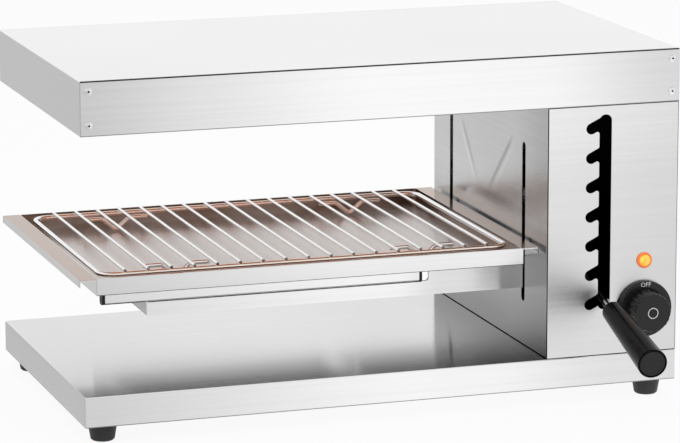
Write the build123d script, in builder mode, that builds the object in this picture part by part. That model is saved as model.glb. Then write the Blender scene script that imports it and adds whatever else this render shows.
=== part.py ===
from build123d import *
import os
from math import asin, cos, radians, sin

# Countertop cheese melter (salamander): a heated top housing on a right-hand column, with a
# tray that a side lever raises towards the heaters. Millimetres. +X is right, +Y is back, +Z up.
# Origin: centre of the footprint, lever included, on the plane that the feet stand on.

# ---------------------------------------------------------------- driving dimensions
WIDTH = 600
DEPTH = 330
FOOT_H = 17.5
BASE_H = 30
BAY_H = 248.5
HOUSING_H = 52
COLUMN_W = 135.5
SHEET = 1.0
PANEL_SHEET = 1.2
HANDLE_REACH = 162
GLAND_REACH = 12

FRONT = -(DEPTH + GLAND_REACH - HANDLE_REACH) / 2
BACK = FRONT + DEPTH
RIGHT = WIDTH / 2
BASE_TOP = FOOT_H + BASE_H
HOUSING_Z = BASE_TOP + BAY_H
TOP = HOUSING_Z + HOUSING_H
WALL_X = RIGHT - COLUMN_W

# Height slot in the column's front panel: a channel with notches on its left side
CHANNEL_X = 223.1
CHANNEL_W = 12.8
CHANNEL_TOP = BASE_TOP + 239.5
CHANNEL_BOTTOM = BASE_TOP + 46
NOTCH_COUNT = 7
NOTCH_PITCH = 29.1
NOTCH_TOP_Z = BASE_TOP + 226.1
NOTCH_X = 208.4
NOTCH_W = 10.9
NOTCH_SLOPE = 26
TOOTH_R = 2.2

# Lever: swings up about a cross pin at the back, and sideways about a latch pin in its yoke
PIVOT_X = 247.9
PIVOT_Y = FRONT + 285
PIVOT_Z = BASE_TOP + 103.9
LEVER_SIDE = 0.0875
LEVER_DROP = 0.169
LATCH_SLOPE = 16
LATCH_OFFSET = 20
ROD_R = 4
PIN_R = 4
LATCH_PIN_R = 3
GRIP_START = 316.5
GRIP_END = 451
FIT = 0.05

# Tray carriage: arms through two slots in the column's inner side
FRONT_ARM_Y = FRONT + 67.5
REAR_ARM_Y = FRONT + 277
SLOT_W = 9
SLOT_BOTTOM = BASE_TOP + 44
SLOT_TOP = BASE_TOP + 204
ARM_T = 3
ARM_BOTTOM = BASE_TOP + 58
BAND_TOP = BASE_TOP + 72.2
ARM_TOP = BASE_TOP + 90
ARM_STEP_X = 65
BAND_LEFT = -220.7
CARRIAGE_X = 172
GUIDE_X = 186
GUIDE_R = 5
GUIDE_YS = (FRONT + 92, FRONT + 245)
EYE_Y = FRONT + 110

# Tray and wire grid
TRAY_TOP = BASE_TOP + 109.5
TRAY_DEPTH = 16.3
TRAY_FRONT = FRONT + 14
TRAY_BACK = FRONT + 329
TRAY_LEFT = -300
TRAY_RIGHT = 161
FLANGE_W = 18
LIP_H = 7
RAIL_W = 10
RAIL_LEFT = -263
RAIL_RIGHT = 57
GRID_LEFT = -273
GRID_RIGHT = 137
GRID_FRONT = FRONT + 37
GRID_BACK = FRONT + 315
GRID_Z = BASE_TOP + 107.5
FRAME_WIRE_R = 2.5
ROD_WIRE_R = 1.6
ROD_COUNT = 17

# Controls
KNOB_X = 265.3
KNOB_Z = BASE_TOP + 44
KNOB_R = 28
KNOB_REACH = 24.5
LAMP_Z = BASE_TOP + 92.2
HEATER_R = 4.25
HEATER_Z = HOUSING_Z + 13
RECESS = (-262, 140, FRONT + 40, BACK - 40)

os.makedirs("parts", exist_ok=True)


def finish(piece, name):
    """Label a finished piece and write it under its own name."""
    piece.part.label = name
    export_step(piece.part, f"parts/{name}.step")


def slab(x0, x1, y0, y1, z0, z1, mode=Mode.ADD):
    """A rectangular block between two corners, added to or cut from the open part."""
    with BuildSketch(Plane.XY.offset(z0)) as footprint:
        with Locations(((x0 + x1) / 2, (y0 + y1) / 2)):
            Rectangle(x1 - x0, y1 - y0)
    extrude(footprint.sketch, amount=z1 - z0, mode=mode)


def front_plane(y):
    """A vertical plane that faces the front: local x is right, local y is up."""
    return Plane(origin=(0, y, 0), x_dir=(1, 0, 0), z_dir=(0, -1, 0))


def side_plane(x):
    """A vertical plane that faces the right: local x is back, local y is up."""
    return Plane(origin=(x, 0, 0), x_dir=(0, 1, 0), z_dir=(1, 0, 0))


# ---------------------------------------------------------------- base and feet
FOOT_INSET = 22
FOOT_SPOTS = [
    (sx * (RIGHT - FOOT_INSET), y)
    for sx in (-1, 1)
    for y in (FRONT + FOOT_INSET, BACK - FOOT_INSET)
]
MID_Y = (FRONT + BACK) / 2
RETURN_W = 14
GUSSET = 34

with BuildPart() as base_panel:
    slab(-RIGHT, RIGHT, FRONT, BACK, FOOT_H, BASE_TOP)
    fillet(base_panel.edges().filter_by(Axis.Z), 1.5)
    fillet(base_panel.faces().sort_by(Axis.Z)[-1].edges(), 1.2)
    slab(
        -RIGHT + SHEET, RIGHT - SHEET, FRONT + SHEET, BACK - SHEET,
        FOOT_H + SHEET, BASE_TOP - SHEET, Mode.SUBTRACT,
    )
    # the underside keeps a return all round and a gusset at each foot
    with BuildSketch(Plane.XY.offset(FOOT_H)) as base_opening:
        with Locations((0, MID_Y)):
            Rectangle(WIDTH - 2 * RETURN_W, DEPTH - 2 * RETURN_W)
        chamfer(base_opening.vertices(), GUSSET)
    extrude(amount=SHEET, mode=Mode.SUBTRACT)
    with Locations(*[(x, y, FOOT_H + SHEET) for x, y in FOOT_SPOTS]):
        Hole(radius=2.2, depth=SHEET)
finish(base_panel, "base_panel")

FOOT_TOP_R = 14
FOOT_TIP_R = 11.6
FOOT_RIM = 1.5
with BuildPart() as feet:
    for x, y in FOOT_SPOTS:
        with BuildSketch(Plane(origin=(x, y, 0), x_dir=(1, 0, 0), z_dir=(0, -1, 0))):
            with BuildLine():
                Polyline(
                    (5.2, 0), (FOOT_TIP_R - FOOT_RIM, 0), (FOOT_TIP_R, FOOT_RIM),
                    (FOOT_TOP_R, FOOT_H - 2), (FOOT_TOP_R, FOOT_H), (2.2, FOOT_H),
                    (2.2, 7), (5.2, 7), (5.2, 0),
                )
            make_face()
        revolve(axis=Axis((x, y, 0), (0, 0, 1)))
finish(feet, "feet")

with BuildPart() as foot_screws:
    for x, y in FOOT_SPOTS:
        with BuildSketch(Plane(origin=(x, y, 0), x_dir=(1, 0, 0), z_dir=(0, -1, 0))):
            with BuildLine():
                Polyline((0, 4), (3, 4), (4, 5), (4, 7), (2, 7), (2, 24), (0, 24), (0, 4))
            make_face()
        revolve(axis=Axis((x, y, 0), (0, 0, 1)))
finish(foot_screws, "foot_screws")

with BuildPart() as foot_nuts:
    with BuildSketch(Plane.XY.offset(FOOT_H + SHEET)):
        with Locations(*FOOT_SPOTS):
            RegularPolygon(radius=3.5, side_count=6, major_radius=False)
            Circle(2.05, mode=Mode.SUBTRACT)
    extrude(amount=3.2)
finish(foot_nuts, "foot_nuts")

# ---------------------------------------------------------------- column panels
SEAM = 0.7
PANEL_TOP = HOUSING_Z - SEAM
PANEL_BOTTOM = BASE_TOP + SEAM
RETURN_D = 12
EDGE_SHOWS = 1.3
INNER_GAP = 1.8
INNER_SEAM = 0.9
SIDE_SCREW_ZS = (BASE_TOP + 19, BASE_TOP + 129)
BACK_SCREW_ZS = (BASE_TOP + 14, BASE_TOP + 234)
SIDE_SCREW_YS = (FRONT + 6.5, BACK - 8)
SCREW_R = 1.7

with BuildPart() as column_front_panel:
    # the outer side's front edge shows beside this panel, which has round corners there
    slab(WALL_X, RIGHT - EDGE_SHOWS, FRONT, FRONT + PANEL_SHEET, PANEL_BOTTOM, PANEL_TOP)
    fillet(column_front_panel.edges().filter_by(Axis.Y).group_by(Axis.X)[-1], 2)
    # side returns stand inside the two side panels
    for x in (WALL_X + SHEET + 0.1, RIGHT - 2 * SHEET - 0.1):
        slab(x, x + SHEET, FRONT, FRONT + RETURN_D, PANEL_BOTTOM, PANEL_TOP)
    with BuildSketch(front_plane(FRONT)) as height_slot:
        with Locations((CHANNEL_X, (CHANNEL_TOP + CHANNEL_BOTTOM) / 2)):
            Rectangle(CHANNEL_W, CHANNEL_TOP - CHANNEL_BOTTOM)
        fillet(height_slot.vertices(), CHANNEL_W / 2 - 0.4)
        for notch in range(NOTCH_COUNT):
            z = NOTCH_TOP_Z - notch * NOTCH_PITCH
            length = (CHANNEL_X - NOTCH_X) / cos(radians(NOTCH_SLOPE))
            with Locations(Location((NOTCH_X, z), NOTCH_SLOPE)):
                with Locations((length / 2, 0)):
                    SlotCenterToCenter(length, NOTCH_W)
        tooth_corners = [
            v
            for v in height_slot.vertices()
            if abs(v.X - (CHANNEL_X - CHANNEL_W / 2)) < 0.02
            and CHANNEL_BOTTOM + 8 < v.Y < NOTCH_TOP_Z
        ]
        fillet(tooth_corners, TOOTH_R)
    extrude(amount=-PANEL_SHEET, mode=Mode.SUBTRACT)
    with BuildSketch(front_plane(FRONT)):
        with Locations((KNOB_X, KNOB_Z)):
            Circle(5.5)
            with GridLocations(28, 0, 2, 1):
                Circle(2)
        with Locations((KNOB_X, LAMP_Z)):
            Circle(6.3)
    extrude(amount=-PANEL_SHEET, mode=Mode.SUBTRACT)
    with BuildSketch(side_plane(RIGHT)):
        with Locations(*[(SIDE_SCREW_YS[0], z) for z in SIDE_SCREW_ZS]):
            Circle(SCREW_R + 0.1)
    extrude(amount=-6, mode=Mode.SUBTRACT)
finish(column_front_panel, "column_front_panel")

with BuildPart() as column_inner_side:
    slab(
        WALL_X, WALL_X + SHEET, FRONT + PANEL_SHEET + INNER_GAP, BACK - SHEET,
        BASE_TOP + INNER_SEAM, HOUSING_Z,
    )
    with BuildSketch(side_plane(WALL_X)):
        with Locations(*[(y, (SLOT_TOP + SLOT_BOTTOM) / 2) for y in (FRONT_ARM_Y, REAR_ARM_Y)]):
            SlotOverall(SLOT_TOP - SLOT_BOTTOM, SLOT_W, rotation=90)
    extrude(amount=SHEET, mode=Mode.SUBTRACT)
finish(column_inner_side, "column_inner_side")

with BuildPart() as column_outer_side:
    slab(RIGHT - SHEET, RIGHT, FRONT + PANEL_SHEET, BACK, BASE_TOP, HOUSING_Z)
    slab(RIGHT - 16, RIGHT - SHEET, BACK - 2 * SHEET, BACK - SHEET, BASE_TOP, HOUSING_Z)
    fillet(
        column_outer_side.edges().filter_by(Axis.Z).sort_by(Axis.Y)[-2:].sort_by(Axis.X)[-1:], 0.9
    )
    with BuildSketch(side_plane(RIGHT)):
        with Locations(*[(y, z) for y in SIDE_SCREW_YS for z in SIDE_SCREW_ZS]):
            Circle(SCREW_R + 0.1)
    extrude(amount=-SHEET, mode=Mode.SUBTRACT)
    with BuildSketch(front_plane(BACK)):
        with Locations(*[(RIGHT - 9, z) for z in BACK_SCREW_ZS]):
            Circle(SCREW_R + 0.1)
    extrude(amount=2 * SHEET, mode=Mode.SUBTRACT)
finish(column_outer_side, "column_outer_side")

GLAND_X = 262
GLAND_Z = BASE_TOP + 26
GLAND_R = 7.8
VENT_Z = BASE_TOP + 184
BACK_SCREWS = [(x, z) for x in (WALL_X + 9, RIGHT - 9) for z in BACK_SCREW_ZS]
with BuildPart() as column_back_panel:
    slab(WALL_X, RIGHT - SHEET, BACK - SHEET, BACK, BASE_TOP, HOUSING_Z)
    slab(WALL_X + SHEET, WALL_X + 2 * SHEET, BACK - 16, BACK - SHEET, BASE_TOP, HOUSING_Z)
    with BuildSketch(front_plane(BACK)):
        # vent slots let the column breathe
        with Locations((CHANNEL_X + 8, VENT_Z)):
            with GridLocations(40, 9, 2, 6):
                SlotOverall(32, 3.5)
        with Locations((GLAND_X, GLAND_Z)):
            Circle(GLAND_R + 0.1)
        with Locations(*BACK_SCREWS):
            Circle(SCREW_R + 0.1)
    extrude(amount=SHEET, mode=Mode.SUBTRACT)
finish(column_back_panel, "column_back_panel")


def dome(radius, rim, crown):
    """An arc from the rim of a dome to its crown on the axis, level at the crown."""
    rise = crown - rim
    sphere = (radius**2 + rise**2) / (2 * rise)
    half = asin(radius / abs(sphere)) / 2
    middle = crown - sphere * (1 - cos(half))
    ThreePointArc((radius, rim), (abs(sphere) * sin(half), middle), (0, crown))


def screw_profile(head_r, head_h, shank_r, length):
    """Half outline of a pan-head screw: the head stands at positive y, the shank runs negative."""
    Polyline(
        (0, -length), (shank_r, -length), (shank_r, 0), (head_r, 0), (head_r, head_h * 0.5),
        (head_r * 0.7, head_h), (0, head_h), (0, -length),
    )


with BuildPart() as side_screws:
    for y in SIDE_SCREW_YS:
        for z in SIDE_SCREW_ZS:
            with BuildSketch(Plane(origin=(RIGHT, y, z), x_dir=(0, 1, 0), z_dir=(0, 0, -1))):
                with BuildLine():
                    screw_profile(3.5, 2, SCREW_R, 7)
                make_face()
            revolve(axis=Axis((RIGHT, y, z), (1, 0, 0)))
finish(side_screws, "side_screws")

with BuildPart() as back_screws:
    for x, z in BACK_SCREWS:
        with BuildSketch(Plane(origin=(x, BACK, z), x_dir=(1, 0, 0), z_dir=(0, 0, 1))):
            with BuildLine():
                screw_profile(3.5, 2, SCREW_R, 7)
            make_face()
        revolve(axis=Axis((x, BACK, z), (0, 1, 0)))
finish(back_screws, "back_screws")

# ---------------------------------------------------------------- heated top housing
RIVET_X = RIGHT - 8
RIVET_ZS = (HOUSING_Z + 10.3, TOP - 9.6)
RIVETS = [(sx * RIVET_X, z) for sx in (-1, 1) for z in RIVET_ZS]
FASCIA_RETURN = 14
FASCIA_TOP = TOP - 1.2
COVER_FRONT = FRONT + PANEL_SHEET + 0.4

with BuildPart() as housing_cover:
    slab(-RIGHT, RIGHT, COVER_FRONT, BACK, HOUSING_Z, TOP)
    fillet(housing_cover.edges().filter_by(Axis.Z).group_by(Axis.Y)[-1], 1.5)
    fillet(housing_cover.faces().sort_by(Axis.Z)[-1].edges().group_by(Axis.Y)[-1], 1.2)
    slab(
        -RIGHT + SHEET, RIGHT - SHEET, FRONT, BACK - SHEET,
        HOUSING_Z, TOP - SHEET, Mode.SUBTRACT,
    )
    # a tab at each end takes the fascia's rivets
    for sx in (-1, 1):
        x = sx * (RIGHT - SHEET)
        slab(
            min(x, x - sx * 15), max(x, x - sx * 15),
            COVER_FRONT, COVER_FRONT + SHEET, HOUSING_Z + 3, TOP - SHEET,
        )
    with BuildSketch(front_plane(FRONT)):
        with Locations(*RIVETS):
            Circle(1.7)
    extrude(amount=-6, mode=Mode.SUBTRACT)
finish(housing_cover, "housing_cover")

with BuildPart() as housing_fascia:
    slab(-RIGHT, RIGHT, FRONT, FRONT + PANEL_SHEET, HOUSING_Z, FASCIA_TOP)
    fillet(housing_fascia.edges().filter_by(Axis.Z).group_by(Axis.Y)[0], 0.8)
    slab(
        -RIGHT + 2, RIGHT - 2, FRONT + PANEL_SHEET, FRONT + FASCIA_RETURN,
        HOUSING_Z, HOUSING_Z + SHEET,
    )
    with BuildSketch(front_plane(FRONT)):
        with Locations(*RIVETS):
            Circle(1.7)
    extrude(amount=-PANEL_SHEET, mode=Mode.SUBTRACT)
finish(housing_fascia, "housing_fascia")

with BuildPart() as fascia_rivets:
    for x, z in RIVETS:
        with BuildSketch(Plane(origin=(x, FRONT, z), x_dir=(1, 0, 0), z_dir=(0, 0, 1))):
            with BuildLine():
                # a blind rivet: a low head round the deep hole that its broken stem leaves
                Polyline(
                    (1, 0.9), (0, 0.9), (0, 5), (1.6, 5), (1.6, 0), (3.8, 0), (3.8, -0.35),
                    (2.7, -1.15), (1, -1.4), (1, 0.9),
                )
            make_face()
        revolve(axis=Axis((x, FRONT, z), (0, 1, 0)))
finish(fascia_rivets, "fascia_rivets")

RX0, RX1, RY0, RY1 = RECESS
UPSTAND = 22
HEATER_YS = [MID_Y + step * 56 for step in (-1.5, -0.5, 0.5, 1.5)]
with BuildPart() as housing_floor:
    slab(
        -RIGHT + SHEET, RIGHT - SHEET, FRONT + FASCIA_RETURN + 0.2, BACK - SHEET,
        HOUSING_Z, HOUSING_Z + SHEET,
    )
    slab(RX0 - SHEET, RX1 + SHEET, RY0 - SHEET, RY1 + SHEET, HOUSING_Z, HOUSING_Z + UPSTAND)
    slab(RX0, RX1, RY0, RY1, HOUSING_Z, HOUSING_Z + UPSTAND, Mode.SUBTRACT)
    with BuildSketch(side_plane(RX1)):
        with Locations(*[(y, HEATER_Z) for y in HEATER_YS]):
            Circle(HEATER_R + 0.3)
    extrude(amount=SHEET, mode=Mode.SUBTRACT)
    # cable way from the column
    slab(215, 280, FRONT + 60, BACK - 60, HOUSING_Z, HOUSING_Z + SHEET, Mode.SUBTRACT)
finish(housing_floor, "housing_floor")

REFLECTOR_H = 18
REFLECTOR_T = 0.8
with BuildPart() as reflector:
    with BuildSketch(Plane.XY.offset(HOUSING_Z + UPSTAND)):
        with Locations(((RX0 + RX1) / 2, (RY0 + RY1) / 2)):
            Rectangle(RX1 - RX0, RY1 - RY0)
    extrude(amount=REFLECTOR_H, taper=35)
    with BuildSketch(Plane.XY.offset(HOUSING_Z + UPSTAND)):
        with Locations(((RX0 + RX1) / 2, (RY0 + RY1) / 2)):
            Rectangle(RX1 - RX0 - 2, RY1 - RY0 - 2)
    extrude(amount=REFLECTOR_H - REFLECTOR_T, taper=35, mode=Mode.SUBTRACT)
finish(reflector, "reflector")

with BuildPart() as insulation_mat:
    mat_z = HOUSING_Z + UPSTAND + REFLECTOR_H + 0.2
    slab(RX0 + 16, RX1 - 16, RY0 + 16, RY1 - 16, mat_z, TOP - SHEET - 0.2)
finish(insulation_mat, "insulation_mat")

HEATER_LEFT = RX0 + 14
HEATER_RIGHT = RX1 + 16
HAIRPIN_R = 26
with BuildPart() as heater_tubes:
    for near, far in (HEATER_YS[:2], HEATER_YS[2:]):
        with BuildLine() as hairpin:
            FilletPolyline(
                (HEATER_RIGHT, near, HEATER_Z), (HEATER_LEFT, near, HEATER_Z),
                (HEATER_LEFT, far, HEATER_Z), (HEATER_RIGHT, far, HEATER_Z),
                radius=HAIRPIN_R,
            )
        with BuildSketch(Plane(origin=(HEATER_RIGHT, near, HEATER_Z), z_dir=(-1, 0, 0))):
            Circle(HEATER_R)
        sweep(path=hairpin.wires()[0])
finish(heater_tubes, "heater_tubes")

with BuildPart() as heater_brackets:
    for x in (RX0 + 80, RX1 - 70):
        slab(x, x + 1.5, RY0 + 6, RY1 - 6, HEATER_Z - 7, HEATER_Z + 15)
    with BuildSketch(side_plane(RX0)):
        with Locations(*[(y, HEATER_Z) for y in HEATER_YS]):
            Circle(HEATER_R + 0.3)
        with Locations(*[(MID_Y + step * 56, HEATER_Z - 1) for step in (-1, 0, 1)]):
            SlotOverall(34, 8)
    extrude(amount=RX1 - RX0, mode=Mode.SUBTRACT)
finish(heater_brackets, "heater_brackets")

with BuildPart() as heater_bushes:
    with BuildSketch(side_plane(RX1 - 3)):
        with Locations(*[(y, HEATER_Z) for y in HEATER_YS]):
            Circle(7)
            Circle(HEATER_R + 0.3, mode=Mode.SUBTRACT)
    extrude(amount=3)
finish(heater_bushes, "heater_bushes")

# the recess wall lets the heater ends into the dry side of the housing
with BuildPart() as heater_terminals:
    with BuildSketch(side_plane(HEATER_RIGHT)):
        with Locations(*[(y, HEATER_Z) for y in HEATER_YS]):
            Circle(1.6)
    extrude(amount=12)
    with BuildSketch(side_plane(HEATER_RIGHT + 8)):
        with Locations(*[(y, HEATER_Z) for y in HEATER_YS]):
            Rectangle(7, 1.6)
    extrude(amount=9)
finish(heater_terminals, "heater_terminals")

# ---------------------------------------------------------------- lifting carriage
with BuildPart() as guide_rods:
    with BuildSketch(Plane.XY.offset(BASE_TOP)):
        with Locations(*[(GUIDE_X, y) for y in GUIDE_YS]):
            Circle(GUIDE_R)
    extrude(amount=BAY_H)
    chamfer(guide_rods.edges().filter_by(GeomType.CIRCLE), 0.6)
finish(guide_rods, "guide_rods")

CLAMP = 22
with BuildPart() as guide_clamps:
    for z0, z1 in ((BASE_TOP, BASE_TOP + 12), (HOUSING_Z - 12, HOUSING_Z)):
        with BuildSketch(Plane.XY.offset(z0)) as clamp_outline:
            with Locations(*[(GUIDE_X, y) for y in GUIDE_YS]):
                RectangleRounded(CLAMP, CLAMP, 3)
                Circle(GUIDE_R + FIT, mode=Mode.SUBTRACT)
        extrude(amount=z1 - z0)
finish(guide_clamps, "guide_clamps")

PLATE_TOP = ARM_TOP + 32
with BuildPart() as carriage_plate:
    with BuildSketch(side_plane(CARRIAGE_X)) as plate_outline:
        with Locations((((FRONT_ARM_Y + REAR_ARM_Y) / 2), (ARM_BOTTOM + PLATE_TOP) / 2)):
            Rectangle(REAR_ARM_Y - FRONT_ARM_Y + 6, PLATE_TOP - ARM_BOTTOM)
        chamfer(plate_outline.vertices().group_by(Axis.Y)[-1], 24)
        with Locations((MID_Y, ARM_BOTTOM + 34)):
            SlotOverall(90, 26, mode=Mode.SUBTRACT)
    extrude(amount=ARM_T)
finish(carriage_plate, "carriage_plate")

with BuildPart() as guide_bushes:
    for z in (ARM_BOTTOM + 2, PLATE_TOP - 20):
        with BuildSketch(Plane.XY.offset(z)):
            with Locations(*[(GUIDE_X, y) for y in GUIDE_YS]):
                RectangleRounded(CLAMP, CLAMP, 4)
                Circle(GUIDE_R + FIT, mode=Mode.SUBTRACT)
        extrude(amount=18)
finish(guide_bushes, "guide_bushes")


def arm(y, name, fold):
    """A stepped arm: low under the tray, tall at the column, folded onto the carriage."""
    with BuildPart() as piece:
        with BuildSketch(front_plane(y - ARM_T / 2)) as outline:
            with BuildLine():
                Polyline(
                    (BAND_LEFT, ARM_BOTTOM), (CARRIAGE_X, ARM_BOTTOM), (CARRIAGE_X, ARM_TOP),
                    (ARM_STEP_X, ARM_TOP), (ARM_STEP_X, BAND_TOP), (BAND_LEFT, BAND_TOP),
                    (BAND_LEFT, ARM_BOTTOM),
                )
            make_face()
            inner = [v for v in outline.vertices() if v.X == ARM_STEP_X]
            fillet(inner, 3)
        extrude(amount=-ARM_T)
        # the rail's seat and the fold inside the column
        slab(BAND_LEFT, RAIL_RIGHT, y - RAIL_W / 2, y + RAIL_W / 2, BAND_TOP - 1.5, BAND_TOP)
        near, far = sorted((y, y + fold * 26))
        slab(CARRIAGE_X - ARM_T, CARRIAGE_X, near, far, ARM_BOTTOM, ARM_TOP)
    finish(piece, name)


arm(FRONT_ARM_Y, "front_arm", 1)
arm(REAR_ARM_Y, "rear_arm", -1)

with BuildPart() as cross_ties:
    y0, y1 = FRONT_ARM_Y + ARM_T / 2, REAR_ARM_Y - ARM_T / 2
    for x in (BAND_LEFT, 20):
        slab(x, x + 2, y0, y1, ARM_BOTTOM, BAND_TOP - 1.5)
        slab(x, x + 16, y0, y1, ARM_BOTTOM, ARM_BOTTOM + 2)
finish(cross_ties, "cross_ties")

RAIL_TOP = TRAY_TOP - TRAY_DEPTH
RAIL_H = RAIL_TOP - BAND_TOP
RAIL_Z = (RAIL_TOP + BAND_TOP) / 2
CAP_HEAD = 3
with BuildPart() as tray_rails:
    with BuildSketch(side_plane(RAIL_LEFT)):
        with Locations(*[(y, RAIL_Z) for y in (FRONT_ARM_Y, REAR_ARM_Y)]):
            RectangleRounded(RAIL_W, RAIL_H, 3)
            RectangleRounded(RAIL_W - 2.4, RAIL_H - 2.4, 1.8, mode=Mode.SUBTRACT)
    extrude(amount=RAIL_RIGHT - RAIL_LEFT - CAP_HEAD)
finish(tray_rails, "tray_rails")

with BuildPart() as rail_caps:
    for x, inward in ((RAIL_LEFT, 1), (RAIL_RIGHT - CAP_HEAD, -1)):
        with BuildSketch(side_plane(x)):
            with Locations(*[(y, RAIL_Z) for y in (FRONT_ARM_Y, REAR_ARM_Y)]):
                RectangleRounded(RAIL_W, RAIL_H, 3)
        extrude(amount=-inward * CAP_HEAD)
        with BuildSketch(side_plane(x)):
            with Locations(*[(y, RAIL_Z) for y in (FRONT_ARM_Y, REAR_ARM_Y)]):
                RectangleRounded(RAIL_W - 2.6, RAIL_H - 2.6, 1.7)
        extrude(amount=inward * 10)
finish(rail_caps, "rail_caps")

# ---------------------------------------------------------------- lever
pivot = Vector(PIVOT_X, PIVOT_Y, PIVOT_Z)
lever_dir = Vector(-LEVER_SIDE, -1, -LEVER_DROP).normalized()
swing_dir = Vector(-cos(radians(LATCH_SLOPE)), 0, -sin(radians(LATCH_SLOPE)))
latch_dir = lever_dir.cross(swing_dir).normalized()
latch_point = pivot + lever_dir * LATCH_OFFSET
lever_plane = Plane(origin=pivot, x_dir=lever_dir, z_dir=-latch_dir)


def along(distance):
    """A plane square to the lever, that far from its pivot."""
    return Plane(origin=pivot + lever_dir * distance, z_dir=lever_dir)


EYE_WINDOW = (218.2, 238.2, BASE_TOP + 63.2, BASE_TOP + 79.7)
EYE_RIGHT = 244.5
EYE_TOP = BASE_TOP + 85.2
EYE_ROOT_TOP = BASE_TOP + 104
with BuildPart() as lift_eye:
    with BuildSketch(front_plane(EYE_Y)) as eye_outline:
        with BuildLine():
            Polyline(
                (CARRIAGE_X + ARM_T, ARM_BOTTOM), (EYE_RIGHT, ARM_BOTTOM), (EYE_RIGHT, EYE_TOP),
                (210, EYE_TOP), (190, EYE_ROOT_TOP), (CARRIAGE_X + ARM_T, EYE_ROOT_TOP),
                (CARRIAGE_X + ARM_T, ARM_BOTTOM),
            )
        make_face()
        fillet(eye_outline.vertices().sort_by(Axis.X)[-2:], 4)
        ex0, ex1, ez0, ez1 = EYE_WINDOW
        with Locations(((ex0 + ex1) / 2, (ez0 + ez1) / 2)):
            RectangleRounded(ex1 - ex0, ez1 - ez0, 4, mode=Mode.SUBTRACT)
    extrude(amount=-ARM_T)
    # its flange, flat on the carriage plate
    slab(
        CARRIAGE_X + ARM_T, CARRIAGE_X + 2 * ARM_T, EYE_Y + ARM_T, EYE_Y + 22,
        ARM_BOTTOM + 4, EYE_ROOT_TOP - 4,
    )
finish(lift_eye, "lift_eye")

EAR_GAP = 26
EAR_T = 3
with BuildPart() as pivot_bracket:
    for x in (PIVOT_X - EAR_GAP / 2 - EAR_T, PIVOT_X + EAR_GAP / 2):
        with BuildSketch(side_plane(x)):
            with BuildLine():
                Polyline(
                    (BACK - SHEET - 2, PIVOT_Z - 24), (BACK - SHEET - 2, PIVOT_Z + 24),
                    (PIVOT_Y + 2, PIVOT_Z + 9),
                )
                ThreePointArc(
                    (PIVOT_Y + 2, PIVOT_Z + 9), (PIVOT_Y - 9, PIVOT_Z), (PIVOT_Y + 2, PIVOT_Z - 9)
                )
                Line((PIVOT_Y + 2, PIVOT_Z - 9), (BACK - SHEET - 2, PIVOT_Z - 24))
            make_face()
        extrude(amount=EAR_T)
    half = EAR_GAP / 2 + EAR_T
    slab(
        PIVOT_X - half, PIVOT_X + half, BACK - SHEET - 2, BACK - SHEET,
        PIVOT_Z - 24, PIVOT_Z + 24,
    )
    with BuildSketch(side_plane(PIVOT_X - 20)):
        with Locations((PIVOT_Y, PIVOT_Z)):
            Circle(PIN_R + FIT)
    extrude(amount=40, mode=Mode.SUBTRACT)
finish(pivot_bracket, "pivot_bracket")

with BuildPart() as pivot_pin:
    with BuildSketch(side_plane(PIVOT_X - EAR_GAP / 2 - EAR_T - 1)):
        with Locations((PIVOT_Y, PIVOT_Z)):
            Circle(PIN_R)
    extrude(amount=EAR_GAP + 2 * EAR_T + 2)
    for x in (PIVOT_X - EAR_GAP / 2 - EAR_T - 3, PIVOT_X + EAR_GAP / 2 + EAR_T + 1):
        with BuildSketch(side_plane(x)):
            with Locations((PIVOT_Y, PIVOT_Z)):
                Circle(6)
        extrude(amount=2)
finish(pivot_pin, "pivot_pin")

YOKE_W = 24
FORK_GAP = 9
FORK_T = 3
with BuildPart() as lever_yoke:
    with BuildSketch(side_plane(PIVOT_X - YOKE_W / 2)):
        with Locations((PIVOT_Y, PIVOT_Z)):
            Circle(8)
    extrude(amount=YOKE_W)
    # fork: two cheeks square to the latch pin, joined to the barrel by a web
    for level in (FORK_GAP / 2, -FORK_GAP / 2 - FORK_T):
        with BuildSketch(lever_plane.offset(level)):
            with Locations((LATCH_OFFSET / 2, 0)):
                Rectangle(LATCH_OFFSET, 16)
            with Locations((LATCH_OFFSET, 0)):
                Circle(8)
        extrude(amount=FORK_T)
    with BuildSketch(lever_plane.offset(-FORK_GAP / 2)):
        with Locations((LATCH_OFFSET / 4 + 0.5, 0)):
            Rectangle(LATCH_OFFSET / 2 + 1, 16)
    extrude(amount=FORK_GAP)
    with BuildSketch(side_plane(PIVOT_X - YOKE_W)):
        with Locations((PIVOT_Y, PIVOT_Z)):
            Circle(PIN_R + FIT)
    extrude(amount=2 * YOKE_W, mode=Mode.SUBTRACT)
    with BuildSketch(lever_plane.offset(-10)):
        with Locations((LATCH_OFFSET, 0)):
            Circle(LATCH_PIN_R + 0.02)
    extrude(amount=20, mode=Mode.SUBTRACT)
finish(lever_yoke, "lever_yoke")

with BuildPart() as latch_pin:
    with BuildSketch(lever_plane.offset(-9)):
        with Locations((LATCH_OFFSET, 0)):
            Circle(LATCH_PIN_R)
    extrude(amount=18)
    with BuildSketch(lever_plane.offset(FORK_GAP / 2 + FORK_T)):
        with Locations((LATCH_OFFSET, 0)):
            Circle(5)
    extrude(amount=2)
finish(latch_pin, "latch_pin")

ROD_EYE_R = 7.5
ROD_EYE_T = 8.4
with BuildPart() as lever_rod:
    with BuildSketch(along(LATCH_OFFSET + 2)):
        Circle(ROD_R)
    extrude(amount=GRIP_START + 100 - LATCH_OFFSET - 2)
    with BuildSketch(lever_plane.offset(-ROD_EYE_T / 2)):
        with Locations((LATCH_OFFSET, 0)):
            Circle(ROD_EYE_R)
    extrude(amount=ROD_EYE_T)
    with BuildSketch(lever_plane.offset(-10)):
        with Locations((LATCH_OFFSET, 0)):
            Circle(LATCH_PIN_R + FIT)
    extrude(amount=20, mode=Mode.SUBTRACT)
finish(lever_rod, "lever_rod")

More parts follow.
